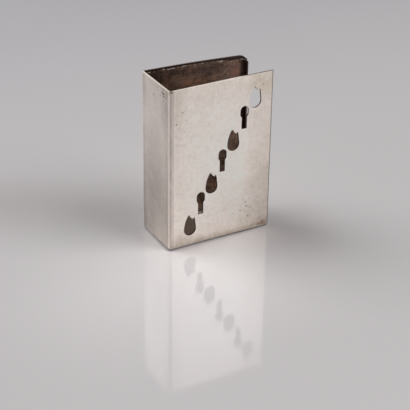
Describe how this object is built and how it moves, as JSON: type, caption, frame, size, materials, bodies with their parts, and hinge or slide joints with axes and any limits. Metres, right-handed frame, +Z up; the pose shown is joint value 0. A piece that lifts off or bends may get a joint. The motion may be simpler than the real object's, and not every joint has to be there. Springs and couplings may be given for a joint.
{
  "type": "matchbox holder",
  "caption": "Book-form holder for a small matchbox, soldered from sheet silver, open at the top and at one side, with a pierced front cover.",
  "frame": {"origin": "centre of the bounding box in plan, on the underside of the floor plate, where it stands on the table", "axes": "+Z up to the open rim, -Y out of the pierced front cover, +X from the spine to the open side"},
  "size_m": [0.0376, 0.019, 0.057],
  "materials": {
    "front_silver": "worn satin silver outside, brown tarnish inside",
    "spine_silver": "worn satin silver outside, brown tarnish inside",
    "back_silver": "worn satin silver outside, brown tarnish inside",
    "floor_silver": "worn satin silver outside, brown tarnish inside",
    "solder": "dull tarnished silver solder"
  },
  "bodies": {
    "root": {"front_cover": "front_silver", "spine": "spine_silver", "back_cover": "back_silver", "floor_plate": "floor_silver", "front_corner_seam": "solder", "back_corner_seam": "solder", "front_floor_seam": "solder", "spine_floor_seam": "solder", "back_floor_seam": "solder"}
  },
  "joints": []
}
